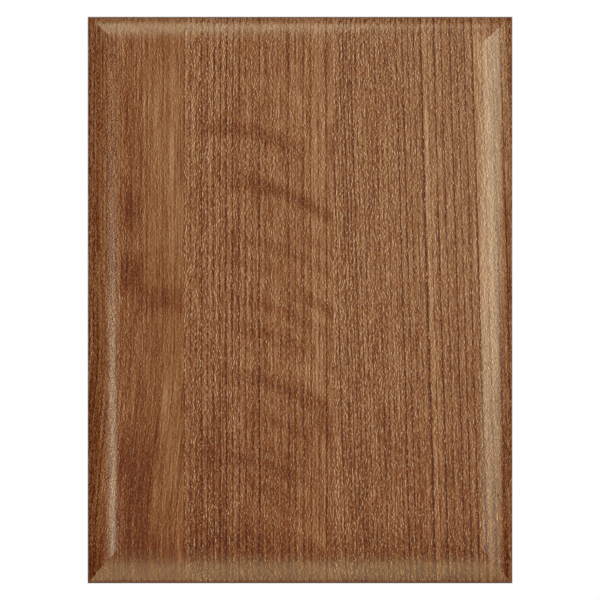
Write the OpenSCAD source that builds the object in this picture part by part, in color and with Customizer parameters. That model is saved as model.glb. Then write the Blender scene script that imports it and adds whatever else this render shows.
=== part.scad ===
// Wall plaque: a walnut blank for an award, edge-glued from three staves. Its face rolls over to
// the sides, two flush keyhole hangers let it hang upright or sideways, and four rubber bumpers
// hold it off the wall.
//
// Frame, in millimetres: X to the right, Z up, and the face looks towards -Y. The back of the
// board is the plane y = 0, and the origin is where the wall screw's shank comes to rest, at the
// end of the upright hanger's slot.

/* [Board] */
// Width of the board
board_w = 228.6; // [150:0.1:300]
// Height of the board
board_h = 304.8; // [200:0.1:400]
// Thickness of the board
board_t = 22.2; // [18:0.1:30]

/* [Staves] */
// Width of the middle stave, and the other two take the rest
middle_stave_w = 80; // [40:1:100]
// Distance from the board's centre line to the joint at the middle stave's right
right_joint_x = 17.7; // [12:0.1:30]

/* [Rolled edge] */
// Width of the roll at the left and the right
side_roll_w = 18; // [12:0.5:24]
// Width of the roll at the top
top_roll_w = 15.5; // [12:0.5:24]
// Width of the roll at the bottom
bottom_roll_w = 20.5; // [12:0.5:24]
// Drop of the roll, from the flat of the face back to the straight side
roll_drop = 9; // [7:0.5:12]
// Radius of the short arc that meets the side
nose_r = 4; // [2:0.5:6]
// Radius of the sanded corner between the side and the back
back_ease_r = 0.8; // [0.4:0.1:1.5]

/* [Keyhole hangers] */
// Distance from the board's edge to the wall screw that it hangs from
hang_inset = 38; // [30:1:60]
// Length of the hanger plate
plate_l = 44; // [42:1:60]
// Width of the hanger plate
plate_w = 17; // [14:0.5:22]
// Thickness of the hanger plate
plate_t = 1.6; // [1.2:0.1:2]
// Radius of the hole that the wall screw's head goes in through
entry_r = 4.75; // [4:0.25:5.5]
// Radius of the slot that the wall screw's shank slides along
slot_r = 2.5; // [2:0.25:3.5]
// Travel from the middle of the entry hole to the end of the slot
slot_travel = 11; // [9:0.5:13]
// Room around the wall screw's head in the pocket, beyond the entry hole's radius
pocket_room = 1.25; // [0.5:0.25:1.5]
// Depth of the pocket behind the plate
pocket_depth = 6; // [4:0.5:8]
// Distance from the plate's end to the middle of its screw
screw_inset = 5.5; // [5:0.5:6]
// Gap between the plate and the rim of its recess
plate_gap = 0.15; // [0.05:0.05:0.3]

/* [Hanger screws] */
// Length of the screw
screw_l = 12.7; // [9:0.1:14]
// Radius of the screw's head
head_r = 2.75; // [2.4:0.05:3.2]
// Radius over the thread
thread_r = 1.45; // [1.3:0.05:1.8]
// Radius at the root of the thread
root_r = 1; // [0.8:0.05:1.2]
// Pitch of the thread
thread_pitch = 1.2; // [0.9:0.1:1.5]
// Length of the pointed tip
tip_l = 2.4; // [1.5:0.1:3]
// Depth of the cross recess in the head
recess_depth = 1.3; // [0.8:0.1:1.6]
// Width of each arm of the cross recess
recess_w = 0.7; // [0.5:0.05:0.9]
// Clearance around the thread where the screw passes through the plate
screw_clearance = 0.15; // [0.05:0.05:0.3]
// Spare depth of the pilot hole past the screw's tip
pilot_spare = 1; // [0.5:0.5:2]

/* [Wall bumpers] */
// Radius of the bumper
bumper_r = 5.5; // [4.5:0.5:8]
// Height of the bumper, which is the gap between the board and the wall
bumper_h = 3; // [2:0.25:4]
// Height of the straight rim at the bumper's foot
bumper_rim_h = 0.8; // [0.5:0.1:1]
// Radius of the flat that touches the wall
bumper_flat_r = 3.2; // [2:0.1:3.8]
// Distance from the board's edges to the middle of a bumper
bumper_inset = 16; // [12:1:24]

/* [Hidden] */
$fn = 96;
through = 1; // how far a cut runs past the face that it opens

board_x = board_w / 2;
board_top = hang_inset;
board_mid_z = board_top - board_h / 2;
side_h = board_t - roll_drop;
left_joint_x = right_joint_x - middle_stave_w;

// A hanger is drawn face up on the back of a board that lies on its face, with the seat of the
// wall screw's shank at the origin and the slot running from there along +Y.
plate_mid = (slot_travel + entry_r - slot_r) / 2;
plate_screws = [plate_mid - plate_l / 2 + screw_inset, plate_mid + plate_l / 2 - screw_inset];
screw_turns = [25, 70]; // how far round the cross of each screw stopped
pocket_r = entry_r + pocket_room;
sideways_seat = [board_x - hang_inset, 0, board_mid_z];

head_h = head_r - root_r; // the head is a 90 degree countersink
thread_turns = floor((screw_l - head_h - tip_l) / thread_pitch);
thread_top = screw_l - tip_l - thread_turns * thread_pitch;

// The bumper's dome is a sphere through the top of its rim and the edge of its flat.
rim_reach = bumper_rim_h ^ 2 + bumper_r ^ 2;
flat_reach = bumper_h ^ 2 + bumper_flat_r ^ 2;
dome_mid = (flat_reach - rim_reach) / (2 * (bumper_h - bumper_rim_h));
dome_r = norm([bumper_r, bumper_rim_h - dome_mid]);
bumper_x = board_x - bumper_inset;
bumper_top = board_top - bumper_inset;
bumper_bottom = board_top - board_h + bumper_inset;

walnut_left = "#80502f";
walnut_middle = "#8a5b3c";
walnut_right = "#906341";
zinc = "#b9bcc0";
screw_steel = "#a5a8ac";
bumper_rubber = "#2b2a29";

// ---- Board ----

// The radius of the long arc that leaves the face flat, drops by roll_drop over the roll's width
// and runs smoothly into the nose.
function sweep_r(width) =
    ((width - nose_r) ^ 2 + roll_drop ^ 2 - nose_r ^ 2) / (2 * (roll_drop - nose_r));

// The roll at one side, from the side wall at x = 0 in to the flat of the face at x = width.
module rolled_edge(width) {
    sweep = sweep_r(width);
    meet_x = nose_r * (1 - (width - nose_r) / (sweep - nose_r));
    intersection() {
        translate([width, sweep - board_t]) circle(sweep);
        translate([meet_x, -board_t]) square([width - meet_x, roll_drop]);
    }
    intersection() {
        translate([nose_r, -side_h]) circle(nose_r);
        translate([0, -board_t]) square([meet_x, roll_drop]);
    }
}

// Section across the board with its back on y = 0: a roll at each end, straight sides and eased
// back corners.
module board_section(span, roll_widths) {
    flat_w = span - roll_widths[0] - roll_widths[1];
    translate([-span / 2, -side_h]) square([span, side_h - back_ease_r]);
    translate([back_ease_r - span / 2, -side_h]) square([span - 2 * back_ease_r, side_h]);
    translate([roll_widths[0] - span / 2, -board_t]) square([flat_w, board_t]);
    for (end = [0, 1]) mirror([end, 0]) translate([-span / 2, 0]) {
        rolled_edge(roll_widths[end]);
        translate([back_ease_r, -back_ease_r]) circle(back_ease_r);
    }
}

// The rolls of the two sections drop by the same amount, so they meet in a mitre at each corner.
module board() {
    translate([0, 0, board_mid_z]) intersection() {
        linear_extrude(board_h, center = true)
            board_section(board_w, [side_roll_w, side_roll_w]);
        rotate([0, 90, 0]) linear_extrude(board_w, center = true)
            board_section(board_h, [top_roll_w, bottom_roll_w]);
    }
}

module stave(from_x, to_x) {
    difference() {
        intersection() {
            board();
            translate([from_x, -board_t - through, board_top - board_h - through])
                cube([to_x - from_x, board_t + 2 * through, board_h + 2 * through]);
        }
        at_each_hanger() hanger_cuts();
    }
}

module stave_left() { color(walnut_left) stave(-board_x - through, left_joint_x); }

module stave_middle() { color(walnut_middle) stave(left_joint_x, right_joint_x); }

module stave_right() { color(walnut_right) stave(right_joint_x, board_x + through); }

// ---- Keyhole hangers ----

// Stands the board's back up: what was up points to the wall, and what was +Y points down.
module upright() { rotate([-90, 0, 0]) children(); }

module sideways() { translate(sideways_seat) rotate([0, 90, 0]) upright() children(); }

module at_each_hanger() {
    upright() children();
    sideways() children();
}

// A bar along Y with both ends fully round, and its middle at the origin.
module round_ended(length, radius) {
    for (end = [-1, 1]) translate([0, end * (length / 2 - radius)]) circle(radius);
    square([2 * radius, length - 2 * radius], center = true);
}

// What is routed and drilled into the board for one hanger: plate recess, pocket and pilot holes.
module hanger_cuts() {
    translate([0, plate_mid, -plate_t])
        linear_extrude(plate_t + through) round_ended(plate_l + 2 * plate_gap, plate_w / 2 + plate_gap);
    translate([0, slot_travel / 2, -plate_t - pocket_depth])
        linear_extrude(pocket_depth + through) round_ended(slot_travel + 2 * pocket_r, pocket_r);
    for (y = plate_screws) translate([0, y, -screw_l - pilot_spare])
        cylinder(h = screw_l + pilot_spare, r = thread_r);
}

module keyhole() {
    translate([0, slot_travel]) circle(entry_r);
    translate([0, slot_travel / 2]) round_ended(slot_travel + 2 * slot_r, slot_r);
}

// The seat of the screw's head, and the clearance hole under it.
module countersunk_hole() {
    translate([0, 0, -head_h]) cylinder(h = head_h, r1 = root_r, r2 = head_r);
    translate([0, 0, -plate_t - through])
        cylinder(h = plate_t + 2 * through, r = thread_r + screw_clearance);
}

module hanger_plate() {
    color(zinc) difference() {
        translate([0, plate_mid, -plate_t]) linear_extrude(plate_t) round_ended(plate_l, plate_w / 2);
        translate([0, 0, -plate_t - through]) linear_extrude(plate_t + 2 * through) keyhole();
        for (y = plate_screws) translate([0, y, 0]) countersunk_hole();
    }
}

module hanger_plate_upright() { upright() hanger_plate(); }

module hanger_plate_sideways() { sideways() hanger_plate(); }

// ---- Hanger screws ----

// Half of the screw's outline: head, neck, one tooth for each turn of thread, and tip.
module screw_outline() {
    teeth = [for (turn = [0 : thread_turns - 1]) let (y = -thread_top - turn * thread_pitch)
        each [[root_r, y], [thread_r, y - thread_pitch / 2]]];
    head = [[0, 0], [head_r, 0], [root_r, -head_h]];
    tip = [[root_r, tip_l - screw_l], [0, -screw_l]];
    polygon(concat(head, teeth, tip));
}

// A cross that narrows with depth, as a driver's tip does.
module cross_recess() {
    intersection() {
        translate([0, 0, -recess_depth]) cylinder(h = 2 * recess_depth, r1 = recess_w / 2, r2 = head_r);
        for (turn = [0, 90]) rotate(turn)
            cube([2 * head_r, recess_w, 2 * recess_depth + through], center = true);
    }
}

module hanger_screw() {
    difference() {
        rotate_extrude() screw_outline();
        cross_recess();
    }
}

module hanger_screws() {
    color(screw_steel) at_each_hanger()
        for (i = [0, 1]) translate([0, plate_screws[i], 0]) rotate(screw_turns[i]) hanger_screw();
}

// ---- Wall bumpers ----

module bumper(x, z) {
    color(bumper_rubber) translate([x, 0, z]) rotate([-90, 0, 0]) intersection() {
        cylinder(h = bumper_h, r = bumper_r);
        translate([0, 0, dome_mid]) sphere(dome_r);
    }
}

stave_left();
stave_middle();
stave_right();
hanger_plate_upright();
hanger_plate_sideways();
hanger_screws();
bumper(-bumper_x, bumper_top);  // bumper_top_left
bumper(bumper_x, bumper_top);  // bumper_top_right
bumper(-bumper_x, bumper_bottom);  // bumper_bottom_left
bumper(bumper_x, bumper_bottom);  // bumper_bottom_right
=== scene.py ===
from math import cos, radians, sin

import bpy
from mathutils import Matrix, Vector


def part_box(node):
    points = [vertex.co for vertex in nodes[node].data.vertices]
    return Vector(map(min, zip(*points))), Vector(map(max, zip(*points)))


# Wall plaque: a walnut blank for an award, seen from the front as it hangs, on plain white.
# Metres, +Z up, and the face looks towards -Y.

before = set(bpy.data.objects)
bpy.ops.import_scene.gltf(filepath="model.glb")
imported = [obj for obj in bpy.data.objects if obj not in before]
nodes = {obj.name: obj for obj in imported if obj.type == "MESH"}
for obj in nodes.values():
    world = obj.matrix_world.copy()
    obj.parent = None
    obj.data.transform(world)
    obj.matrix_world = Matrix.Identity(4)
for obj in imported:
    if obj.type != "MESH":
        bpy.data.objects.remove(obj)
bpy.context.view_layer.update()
bpy.ops.object.select_all(action="DESELECT")
scene = bpy.context.scene


# ---- Walnut staves ---------------------------------------------------------------------------
# Three staves of American walnut, edge-glued, moulded on all four sides and finished with satin
# lacquer. The wood is drawn right through the board, so rings, streaks and pores that run up the
# face also show on the sides, the end grain and the back.

board_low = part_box("stave_left")[0]
board_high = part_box("stave_right")[1]
MM = 1000.0
MID_Z = (board_low.z + board_high.z) / 2 * MM

# How far apart two columns of dashes, and two layers of them, are read in the noise.
COLUMN_JUMP = 7.31
LAYER_JUMP = 5.17


class Wiring:
    """Adds nodes to a material or a world and joins them, so that a pattern reads as a sum."""

    def __init__(self, owner):
        owner.use_nodes = True
        self.tree = owner.node_tree
        self.tree.nodes.clear()

    def add(self, kind, inputs=(), **settings):
        node = self.tree.nodes.new(kind)
        for key, value in settings.items():
            setattr(node, key, value)
        for key, value in dict(inputs).items():
            self.feed(node.inputs[key], value)
        return node

    def feed(self, socket, value):
        if isinstance(value, bpy.types.NodeSocket):
            self.tree.links.new(value, socket)
        else:
            socket.default_value = value

    def math(self, operation, a, b=0.0):
        return self.add("ShaderNodeMath", {0: a, 1: b}, operation=operation).outputs[0]

    def vector(self, operation, a, b=(0, 0, 0)):
        node = self.add("ShaderNodeVectorMath", {0: a, 1: b}, operation=operation)
        return node.outputs["Value" if operation == "LENGTH" else "Vector"]

    def xyz(self, x, y, z):
        return self.add("ShaderNodeCombineXYZ", {"X": x, "Y": y, "Z": z}).outputs[0]

    def split(self, vector):
        return self.add("ShaderNodeSeparateXYZ", {0: vector}).outputs

    def total(self, *terms):
        result = terms[0]
        for term in terms[1:]:
            result = self.math("ADD", result, term)
        return result

    def times(self, value, factor):
        return self.math("MULTIPLY", value, factor)

    def place_mm(self):
        """Where a point lies on the object, in mm."""
        place = self.add("ShaderNodeTexCoord").outputs["Object"]
        return self.add("ShaderNodeVectorMath", {0: place, "Scale": MM}, operation="SCALE").outputs[0]

    def noise(self, vector, detail=2.0, roughness=0.5):
        """Noise that swings about 0 by roughly 0.5."""
        settings = {"Vector": vector, "Scale": 1.0, "Detail": detail, "Roughness": roughness}
        node = self.add("ShaderNodeTexNoise", settings)
        return self.math("SUBTRACT", node.outputs["Fac"], 0.5)

    def dashes(self, across, deep, up, width, length):
        """Upright dashes in columns of one width, each column unlike the next."""
        column = self.times(self.math("FLOOR", self.times(across, 1 / width)), COLUMN_JUMP)
        layer = self.times(self.math("FLOOR", self.times(deep, 1 / (2 * width))), LAYER_JUMP)
        return self.noise(self.xyz(column, layer, self.times(up, 1 / length)), detail=1)

    def ease(self, value, low, high, to_low=0.0, to_high=1.0):
        """Runs smoothly from to_low to to_high as the value goes from low to high."""
        limits = {"From Min": low, "From Max": high, "To Min": to_low, "To Max": to_high}
        node = self.add("ShaderNodeMapRange", {"Value": value, **limits}, interpolation_type="SMOOTHSTEP")
        return node.outputs[0]

    def mix(self, factor, a, b):
        node = self.add("ShaderNodeMix", {"Factor": factor, "A": a, "B": b}, data_type="RGBA")
        return node.outputs["Result"]

    def ramp(self, value, stops):
        node = self.add("ShaderNodeValToRGB", {"Fac": value})
        elements = node.color_ramp.elements
        while len(elements) < len(stops):
            elements.new(0.5)
        for element, (position, colour) in zip(elements, stops):
            element.position = position
            element.color = (*colour, 1.0)
        return node.outputs["Color"]


# From the dark of a pore to the palest fibre between two rings.
WALNUT = (
    (0.00, (0.030, 0.003, 0.001)),
    (0.21, (0.072, 0.011, 0.001)),
    (0.34, (0.103, 0.031, 0.007)),
    (0.50, (0.149, 0.064, 0.031)),
    (0.66, (0.202, 0.107, 0.068)),
    (0.80, (0.252, 0.150, 0.107)),
    (1.00, (0.345, 0.222, 0.172)),
)
END_GRAIN = (0.045, 0.014, 0.008, 1.0)

# Sizes of the figure in mm: across the grain, into the board and up it.
WANDER_SIZE = (60.0, 60.0, 220.0)
BROAD_STREAK = (8.0, 30.0, 500.0)
NARROW_STREAK = (0.75, 6.0, 220.0)
BRUSH_SIZE = (1.6, 4.0, 16.0)

# Width and length in mm of long threads, open pores and short fibres.
THREAD = (0.62, 26.0)
PORE = (0.57, 1.4)
FIBRE = (0.66, 4.5)

WANDER_REACH = 2.0  # mm that the fibres wander sideways
BOW_TOP = -20.0  # mm up from the board's middle, where a lean starts
BOW_FOOT = -135.0  # and where it is complete
SIDE_FADE = 3.0  # mm in from the board's sides, where the rings soften
MARKS_FULL = -16.0  # y in mm, in front of which the marks, stains and painted light alike, are at full strength
MARKS_END = -4.0  # and behind which there is none
EULER = 2.71828


def spots(w, x, up, marks):
    """Sum of soft marks on the face. Each is (x, up, half width, half height) in mm, and a
    strength, where more than 0 is darker."""
    place = w.xyz(x, up, 0.0)
    result = 0.0
    for mark_x, mark_up, half_w, half_h, strength in marks:
        offset = w.vector("SUBTRACT", place, (mark_x, mark_up, 0.0))
        sides = w.split(w.vector("ABSOLUTE", w.vector("DIVIDE", offset, (half_w, half_h, 1.0))))
        reach = w.math("MAXIMUM", sides[0], sides[1])
        result = w.math("ADD", result, w.ease(reach, 0.12, 1.0, strength, 0.0))
    return result


def walnut(name, stave, pith, ring_growth, ring_strength, tone, coarse, marks,
           lean=0.0, slant=0.0, sweep=0.0, sweep_x=0.0):
    """One stave's wood. pith is the (x, y) of the tree's middle in mm, and rings get wider away
    from it by ring_growth. tone makes the wood darker or paler. coarse gives the strength of the
    fine grain at the stave's left and right edges. lean bends the fibres sideways near the foot,
    and slant all the way up. sweep makes the marks droop, the more the further from sweep_x."""
    left_x, right_x = (corner.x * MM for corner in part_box(stave))
    material = bpy.data.materials.new(name)
    w = Wiring(material)
    place = w.place_mm()
    x, y, z = w.split(place)
    up = w.math("SUBTRACT", z, MID_Z)

    # The fibres wander a little on their way up.
    wander = w.noise(w.vector("DIVIDE", place, WANDER_SIZE))
    bow = w.ease(up, BOW_TOP, BOW_FOOT, 0.0, lean)
    leaning = w.times(up, slant)
    along = w.total(x, w.times(wander, WANDER_REACH), bow, leaning)

    # Growth rings: nested cylinders round the pith, of uneven width and each with its own strength.
    # in_ring runs from 0 to 1 across a ring, and the dark late wood lies near 1.
    spoke = w.vector("SUBTRACT", w.xyz(along, y, 0.0), (*pith, 0.0))
    radius = w.vector("LENGTH", spoke)
    even = w.math("DIVIDE", w.math("LOGARITHM", radius, EULER), ring_growth)
    uneven = w.noise(w.xyz(w.times(even, 0.4), 0.0, 0.0))
    count = w.total(even, w.times(uneven, 0.9))
    ring_id = w.math("FLOOR", count)
    in_ring = w.math("SUBTRACT", count, ring_id)
    chance = w.add("ShaderNodeTexWhiteNoise", {"W": ring_id}, noise_dimensions="1D").outputs["Value"]
    band = w.times(w.ease(in_ring, 0.72, 0.92), w.ease(in_ring, 1.0, 0.94))
    late = w.total(band, w.times(w.ease(in_ring, 0.3, 0.95), 0.18))

    # Streaks follow the rings and run most of the way up the board.
    grain = w.xyz(radius, y, z)
    broad = w.noise(w.vector("DIVIDE", grain, BROAD_STREAK))
    narrow = w.noise(w.vector("DIVIDE", grain, NARROW_STREAK), detail=0)
    thread = w.dashes(radius, y, z, *THREAD)

    # Pores: short tubes about half a millimetre across, open where the face cuts them. Each column
    # is set against the one beside it, so that it stands out.
    here = w.dashes(along, y, z, *PORE)
    beside = w.dashes(w.total(along, PORE[0]), y, z, *PORE)
    fine = w.math("SUBTRACT", here, w.times(beside, 0.6))
    pore = w.ease(fine, -0.20, -0.06, 1.0, 0.0)
    fibre = w.dashes(w.total(along, 0.21), y, z, *FIBRE)

    # Rings soften where the sides of the board cut them at a low angle.
    grit = w.ease(x, left_x, right_x, *coarse)
    rings = w.times(w.times(late, w.ease(chance, 0.0, 1.0, 0.35, 1.0)), ring_strength)
    side_x = board_high.x * MM
    side = w.ease(w.math("ABSOLUTE", x), side_x - SIDE_FADE, side_x, 1.0, 0.35)
    rings = w.times(rings, w.times(grit, side))

    # Cross figure, mineral stain and painted light on the face: painted shade along the foot, and a
    # painted highlight on the right roll.
    brush = w.noise(w.vector("DIVIDE", w.xyz(along, y, z), BRUSH_SIZE))
    drop = w.times(w.math("POWER", w.math("SUBTRACT", x, sweep_x), 2.0), sweep)
    level = w.total(up, drop, w.times(brush, 3.0))
    stain_and_painted_light = spots(w, w.total(x, leaning, w.times(brush, 2.5)), level, marks)
    stain_and_painted_light = w.times(stain_and_painted_light, w.ease(y, MARKS_FULL, MARKS_END, 1.0, 0.0))

    # The sum is a place on WALNUT. foot is painted shade: the board gets darker towards its foot.
    foot = w.ease(up, -150.0, 40.0, -0.10, 0.0)
    value = w.total(
        tone,
        foot,
        w.times(broad, 0.22),
        w.times(narrow, 0.22),
        w.times(thread, 0.62),
        w.times(fine, w.times(grit, 1.55)),
        w.times(fibre, w.times(grit, 0.40)),
        w.times(rings, w.times(fine, 2.5)),
        w.times(rings, -1.0),
        w.times(stain_and_painted_light, -1.0),
    )
    colour = w.ramp(value, WALNUT)

    # End grain drinks more lacquer than long grain, so it is darker.
    facing = w.split(w.add("ShaderNodeTexCoord").outputs["Normal"])[2]
    end_grain = w.ease(w.math("ABSOLUTE", facing), 0.72, 0.82)
    colour = w.mix(w.times(end_grain, 0.75), colour, END_GRAIN)

    height = w.total(w.times(pore, -1.0), w.times(fine, 0.5))
    bump = w.add("ShaderNodeBump", {"Strength": 0.25, "Distance": 0.0001, "Height": height})
    finish = w.add("ShaderNodeBsdfPrincipled", {
        "Base Color": colour,
        "Roughness": w.total(0.27, w.times(pore, 0.04), w.times(end_grain, 0.30)),
        "Normal": bump.outputs["Normal"],
    })
    w.add("ShaderNodeOutputMaterial", {"Surface": finish.outputs["BSDF"]})
    return material


# Dark patches near the left edge, curly figure across the middle stave, and a pale line on the
# right one, in the form that spots takes. The wide band low on each stave is painted shade along
# the foot, and the pale band by the right edge is a painted highlight on the rolled edge. Up is
# counted from the board's middle.
left_marks = (
    (-90.0, 46.0, 11.0, 15.0, 0.12),
    (-90.0, 15.0, 11.0, 15.0, 0.16),
    (-74.0, 0.0, 18.0, 11.0, 0.14),
    (-88.0, -105.0, 16.0, 48.0, 0.13),
    (-72.0, 78.0, 10.0, 70.0, -0.10),
    (-69.0, -78.0, 7.0, 64.0, -0.09),
    (-92.0, 40.0, 12.0, 170.0, 0.10),
    # painted shade along the foot of the board
    (-90.0, -150.0, 100.0, 34.0, 0.10),
)
middle_marks = (
    (-26.0, 93.5, 40.0, 6.5, 0.14),
    (0.0, 66.5, 56.0, 6.2, 0.17),
    (14.0, 48.0, 20.0, 5.0, 0.07),
    (-8.0, 36.0, 50.0, 5.5, 0.08),
    (-24.0, 23.0, 36.0, 5.0, 0.06),
    (14.0, 16.0, 22.0, 6.0, 0.14),
    (-10.0, 3.0, 40.0, 5.0, 0.09),
    (-16.0, -12.0, 36.0, 5.0, 0.08),
    (-6.0, -25.0, 50.0, 9.0, -0.05),
    (-4.0, -38.0, 52.0, 6.5, 0.11),
    (16.0, -48.0, 22.0, 11.0, 0.10),
    (-8.0, -58.0, 26.0, 4.6, 0.06),
    (-16.0, -74.0, 46.0, 4.0, 0.05),
    (-22.0, -83.0, 44.0, 6.0, 0.09),
    (-22.0, -95.0, 18.0, 4.0, 0.06),
    (-8.0, -108.0, 28.0, 7.0, -0.06),
    (12.0, -118.0, 16.0, 8.0, 0.09),
    (-10.0, 120.0, 50.0, 7.0, -0.05),
    (-48.0, -95.0, 12.0, 60.0, 0.08),
    (-34.0, 35.0, 1.4, 110.0, 0.10),
    # painted shade along the foot of the board
    (-20.0, -138.0, 100.0, 32.0, 0.12),
)
right_marks = (
    (70.6, 0.0, 1.7, 400.0, -0.15),
    (67.9, 0.0, 1.3, 400.0, 0.05),
    # painted highlight: a paler band where the right rolled edge catches the light
    (101.0, 40.0, 8.0, 240.0, -0.10),
    # painted shade along the foot of the board
    (50.0, -150.0, 100.0, 34.0, 0.12),
)
nodes["stave_left"].material_slots[0].material = walnut(
    "walnut_left", "stave_left", pith=(-260.0, -11.0), ring_growth=0.016, ring_strength=0.26,
    tone=0.450, coarse=(0.74, 0.46), marks=left_marks, lean=9.0)
nodes["stave_middle"].material_slots[0].material = walnut(
    "walnut_middle", "stave_middle", pith=(-240.0, -11.0), ring_growth=0.017, ring_strength=0.44,
    tone=0.495, coarse=(0.98, 0.70), marks=middle_marks, sweep=0.0042, sweep_x=-56.0)
nodes["stave_right"].material_slots[0].material = walnut(
    "walnut_right", "stave_right", pith=(-32.0, -11.0), ring_growth=0.035, ring_strength=0.64,
    tone=0.500, coarse=(1.04, 0.80), marks=right_marks, slant=0.027)


# ---- Keyhole hangers -------------------------------------------------------------------------
# Two flush hanger plates, stamped from 1.6 mm steel sheet and zinc plated. Each lies in a routed
# recess over a pocket, so the wall screw's head goes in through the hole and slides up the slot.

CLOUD_SIZE = (6.0, 6.0, 6.0)


def metal(name, tint, dark_tint, roughness, brush_size, spangle_size, depth):
    """Plated steel: crystals of zinc under fine marks from the rolls or the lathe. The marks' and
    the crystals' sizes are in mm, and the marks' depth in metres."""
    material = bpy.data.materials.new(name)
    w = Wiring(material)
    place = w.place_mm()
    crystals = w.add("ShaderNodeTexVoronoi", {"Vector": place, "Scale": 1 / spangle_size})
    spangle = w.split(crystals.outputs["Color"])[0]
    brush = w.noise(w.vector("DIVIDE", place, brush_size), detail=3, roughness=0.6)
    cloud = w.noise(w.vector("DIVIDE", place, CLOUD_SIZE), detail=3)
    shade = w.total(0.55, w.times(spangle, 0.25), w.times(brush, 0.5), w.times(cloud, 0.6))
    bump = w.add("ShaderNodeBump", {"Strength": 0.4, "Distance": depth, "Height": brush})
    finish = w.add("ShaderNodeBsdfPrincipled", {
        "Base Color": w.mix(shade, (*dark_tint, 1.0), (*tint, 1.0)),
        "Metallic": 1.0,
        "Roughness": w.total(roughness, w.times(cloud, 0.25), w.times(brush, 0.10)),
        "Normal": bump.outputs["Normal"],
    })
    w.add("ShaderNodeOutputMaterial", {"Surface": finish.outputs["BSDF"]})
    return material


zinc = metal("zinc_plating", tint=(0.74, 0.76, 0.78), dark_tint=(0.45, 0.47, 0.50), roughness=0.34,
             brush_size=(0.15, 4.0, 9.0), spangle_size=2.2, depth=0.00002)
for plate in ("hanger_plate_upright", "hanger_plate_sideways"):
    nodes[plate].material_slots[0].material = zinc


# ---- Hanger screws ---------------------------------------------------------------------------
# Four small wood screws with cross recesses, turned from steel wire and plated. Each goes through
# a hole at one end of a hanger plate and cuts its own thread in the walnut.

screw_steel = metal("screw_steel", tint=(0.70, 0.69, 0.66), dark_tint=(0.36, 0.35, 0.33),
                    roughness=0.26, brush_size=(0.4, 0.12, 0.4), spangle_size=0.8, depth=0.00001)
nodes["hanger_screws"].material_slots[0].material = screw_steel


# ---- Bumpers ---------------------------------------------------------------------------------
# Four moulded rubber bumpers stuck to the corners of the back. They keep the board off the wall
# and stop it swinging on its screw.

RUBBER_DARK = (0.022, 0.021, 0.020, 1.0)
RUBBER_PALE = (0.060, 0.057, 0.054, 1.0)
RUBBER_GRAIN = (0.35, 0.35, 0.35)
RUBBER_BLOOM = (3.0, 3.0, 3.0)

rubber = bpy.data.materials.new("bumper_rubber")
w = Wiring(rubber)
place = w.place_mm()
grain = w.noise(w.vector("DIVIDE", place, RUBBER_GRAIN))
bloom = w.noise(w.vector("DIVIDE", place, RUBBER_BLOOM), detail=3)
bump = w.add("ShaderNodeBump", {"Strength": 0.35, "Distance": 0.00005, "Height": grain})
finish = w.add("ShaderNodeBsdfPrincipled", {
    "Base Color": w.mix(w.total(0.5, bloom, w.times(grain, 0.4)), RUBBER_DARK, RUBBER_PALE),
    "Roughness": w.total(0.58, w.times(bloom, 0.3)),
    "Normal": bump.outputs["Normal"],
})
w.add("ShaderNodeOutputMaterial", {"Surface": finish.outputs["BSDF"]})
for corner in ("top_left", "top_right", "bottom_left", "bottom_right"):
    nodes["bumper_" + corner].material_slots[0].material = rubber


# ---- Floor, light and camera -----------------------------------------------------------------
# The plaque hangs in a white studio above a pale floor. Warm softboxes in front of it give the
# shine on the rolled edge, and three behind it light the hangers.

BACK_WARM = (1.0, 0.97, 0.90)
BACK_COOL = (0.90, 0.92, 1.0)


def softbox(name, aim, azimuth, elevation, distance, size, power, colour):
    """An area light that looks at aim from the given direction, in degrees. Azimuth 0 is in front,
    and 90 is to the right. Distance and size are in metres, and power in watts."""
    turn, rise = radians(azimuth), radians(elevation)
    direction = Vector((sin(turn) * cos(rise), -cos(turn) * cos(rise), sin(rise)))
    light = bpy.data.lights.new(name, "AREA")
    light.shape = "RECTANGLE"
    light.size, light.size_y = size
    light.energy = power
    light.color = colour
    lamp = bpy.data.objects.new(name, light)
    lamp.location = aim + direction * distance
    lamp.rotation_euler = (-direction).to_track_quat("-Z", "Y").to_euler()
    lamp.visible_camera = False
    scene.collection.objects.link(lamp)


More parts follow.
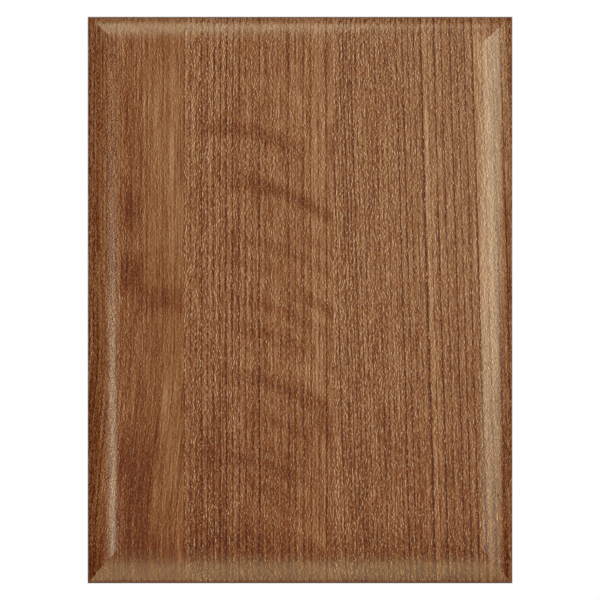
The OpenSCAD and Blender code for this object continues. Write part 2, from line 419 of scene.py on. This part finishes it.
centre = (board_low + board_high) / 2
softbox("right_box", centre, 35, 14, 1.5, (1.25, 1.2), 27.5, (1.0, 0.95, 0.67))
softbox("top_box", centre, -32, 53, 1.5, (1.0, 1.3), 19.0, (1.0, 0.92, 0.63))
softbox("left_strip", centre, -27, -21, 1.5, (0.23, 1.2), 11.3, (1.0, 0.97, 0.72))
softbox("low_box", centre, -16, -59, 0.6, (0.8, 0.30), 1.7, (1.0, 0.88, 0.46))
softbox("back_box", centre, 180, 40, 1.5, (1.4, 1.0), 12, BACK_WARM)
softbox("back_right_box", centre, 145, 8, 1.5, (1.0, 1.4), 5, BACK_WARM)
softbox("back_left_box", centre, 215, 8, 1.5, (1.0, 1.4), 8, BACK_COOL)


def seen_or_lit(w, lit, seen, output):
    """Lights the scene with one shader and shows the camera another."""
    ray = w.add("ShaderNodeLightPath").outputs["Is Camera Ray"]
    choice = w.add("ShaderNodeMixShader", {0: ray, 1: lit.outputs[0], 2: seen.outputs[0]})
    w.add(output, {"Surface": choice.outputs[0]})


FLOOR_SIZE = 8.0
FLOOR_DROP = 0.5  # metres from the plaque's lower edge down to the floor
bpy.ops.mesh.primitive_plane_add(size=FLOOR_SIZE, location=(0.0, 0.0, board_low.z - FLOOR_DROP))
floor = bpy.context.object
floor.name = "floor"
floor_paint = bpy.data.materials.new("pale_floor")
w = Wiring(floor_paint)
matt = w.add("ShaderNodeBsdfDiffuse", {"Color": (0.62, 0.57, 0.50, 1.0)})
glow = w.add("ShaderNodeEmission", {"Color": (0.93, 0.93, 0.92, 1.0), "Strength": 0.80})
both = w.add("ShaderNodeAddShader", {0: matt.outputs[0], 1: glow.outputs[0]})
seen_or_lit(w, matt, both, "ShaderNodeOutputMaterial")
floor.data.materials.append(floor_paint)

world = bpy.data.worlds.new("studio")
scene.world = world
w = Wiring(world)
fill = w.add("ShaderNodeBackground", {"Color": (1.0, 1.0, 1.0, 1.0), "Strength": 0.05})
backdrop = w.add("ShaderNodeBackground", {"Color": (1.0, 1.0, 1.0, 1.0)})
seen_or_lit(w, fill, backdrop, "ShaderNodeOutputWorld")

CAMERA_DISTANCE = 2.4
VIEW_WIDTH = 0.3216  # metres across the view at the plaque's face
camera_data = bpy.data.cameras.new("camera")
camera_data.sensor_width = 36.0
camera_data.lens = camera_data.sensor_width * CAMERA_DISTANCE / VIEW_WIDTH
camera = bpy.data.objects.new("camera", camera_data)
camera.location = (centre.x, board_low.y - CAMERA_DISTANCE, centre.z)
camera.rotation_euler = (radians(90), 0.0, 0.0)
scene.collection.objects.link(camera)
scene.camera = camera
scene.view_settings.view_transform = "Standard"
